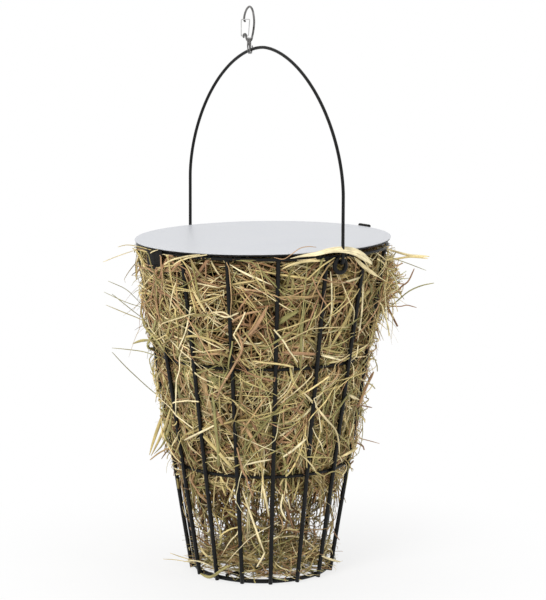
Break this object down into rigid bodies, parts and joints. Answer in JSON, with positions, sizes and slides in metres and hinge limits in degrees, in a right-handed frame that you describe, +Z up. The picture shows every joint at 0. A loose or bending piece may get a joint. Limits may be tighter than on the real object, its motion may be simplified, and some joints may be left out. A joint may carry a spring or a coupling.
{
  "type": "hanging hay basket",
  "caption": "Round tapered wire hay basket with a hinged sheet lid, a swinging wire bail, and a snap hook on a split link for hanging; filled with hay.",
  "frame": {"origin": "on the basket's axis at the level of the surface it stands on", "axes": "+Z up along the basket's axis, +Y towards the lid's hinge, +X towards the right eye of the bail"},
  "size_m": [0.2544, 0.2461, 0.5357],
  "materials": {
    "black_coat": "satin black powder coat on steel wire and strip",
    "satin_sheet": "satin zinc-plated steel sheet",
    "bright_wire": "bright plated spring wire",
    "hay": "dry meadow hay, matt"
  },
  "bodies": {
    "cage": {"rim_ring": "black_coat", "upper_hoop": "black_coat", "lower_hoop": "black_coat", "base_ring": "black_coat", "upright_00": "black_coat", "upright_01": "black_coat", "upright_02": "black_coat", "upright_03": "black_coat", "upright_04": "black_coat", "upright_05": "black_coat", "upright_06": "black_coat", "upright_07": "black_coat", "upright_08": "black_coat", "upright_09": "black_coat", "upright_10": "black_coat", "upright_11": "black_coat", "upright_12": "black_coat", "upright_13": "black_coat", "upright_14": "black_coat", "upright_15": "black_coat", "floor_wire_0": "black_coat", "floor_wire_1": "black_coat", "floor_wire_2": "black_coat", "floor_wire_3": "black_coat", "floor_wire_4": "black_coat", "cross_wire_0": "black_coat", "cross_wire_1": "black_coat", "eye_right": "black_coat", "eye_left": "black_coat", "hinge_rim_leaf": "black_coat", "hinge_pin": "black_coat", "hay_fill": "hay"},
    "lid": {"lid_plate": "satin_sheet", "lid_bead": "black_coat", "lid_tab": "black_coat", "hinge_lid_leaf": "black_coat", "hinge_rivet_0": "satin_sheet", "hinge_rivet_1": "satin_sheet"},
    "handle": {"bail": "black_coat"},
    "link": {"split_link": "bright_wire"},
    "hook": {"hook_body": "bright_wire"},
    "gate": {"hook_gate": "bright_wire"}
  },
  "joints": [
    {"name": "lid_hinge", "type": "hinge", "parent": "cage", "child": "lid", "pos_m": [0, 0.1229, 0.3214], "axis": [-1, 0, 0], "range_deg": [0, 100]},
    {"name": "bail_swing", "type": "hinge", "parent": "cage", "child": "handle", "pos_m": [0, 0, 0.307], "axis": [1, 0, 0], "range_deg": [0, 90]},
    {"name": "link_swing", "type": "hinge", "parent": "handle", "child": "link", "pos_m": [-0.0225, 0, 0.4937], "axis": [0.9663, 0, 0.2576], "range_deg": [-60, 60]},
    {"name": "hook_swing", "type": "hinge", "parent": "link", "child": "hook", "pos_m": [-0.02278, -0.00032, 0.50528], "axis": [-0.1736, 0.9848, 0], "range_deg": [-30, 28]},
    {"name": "gate_spring", "type": "hinge", "parent": "hook", "child": "gate", "pos_m": [-0.0285, -0.00132, 0.50703], "axis": [-0.1736, 0.9848, 0], "range_deg": [0, 28], "stiffness_Nm_per_rad": 0.02}
  ],
  "couplings": [
    {"joint": "bail_swing", "follows": "lid_hinge", "ratio": 0.9}
  ]
}
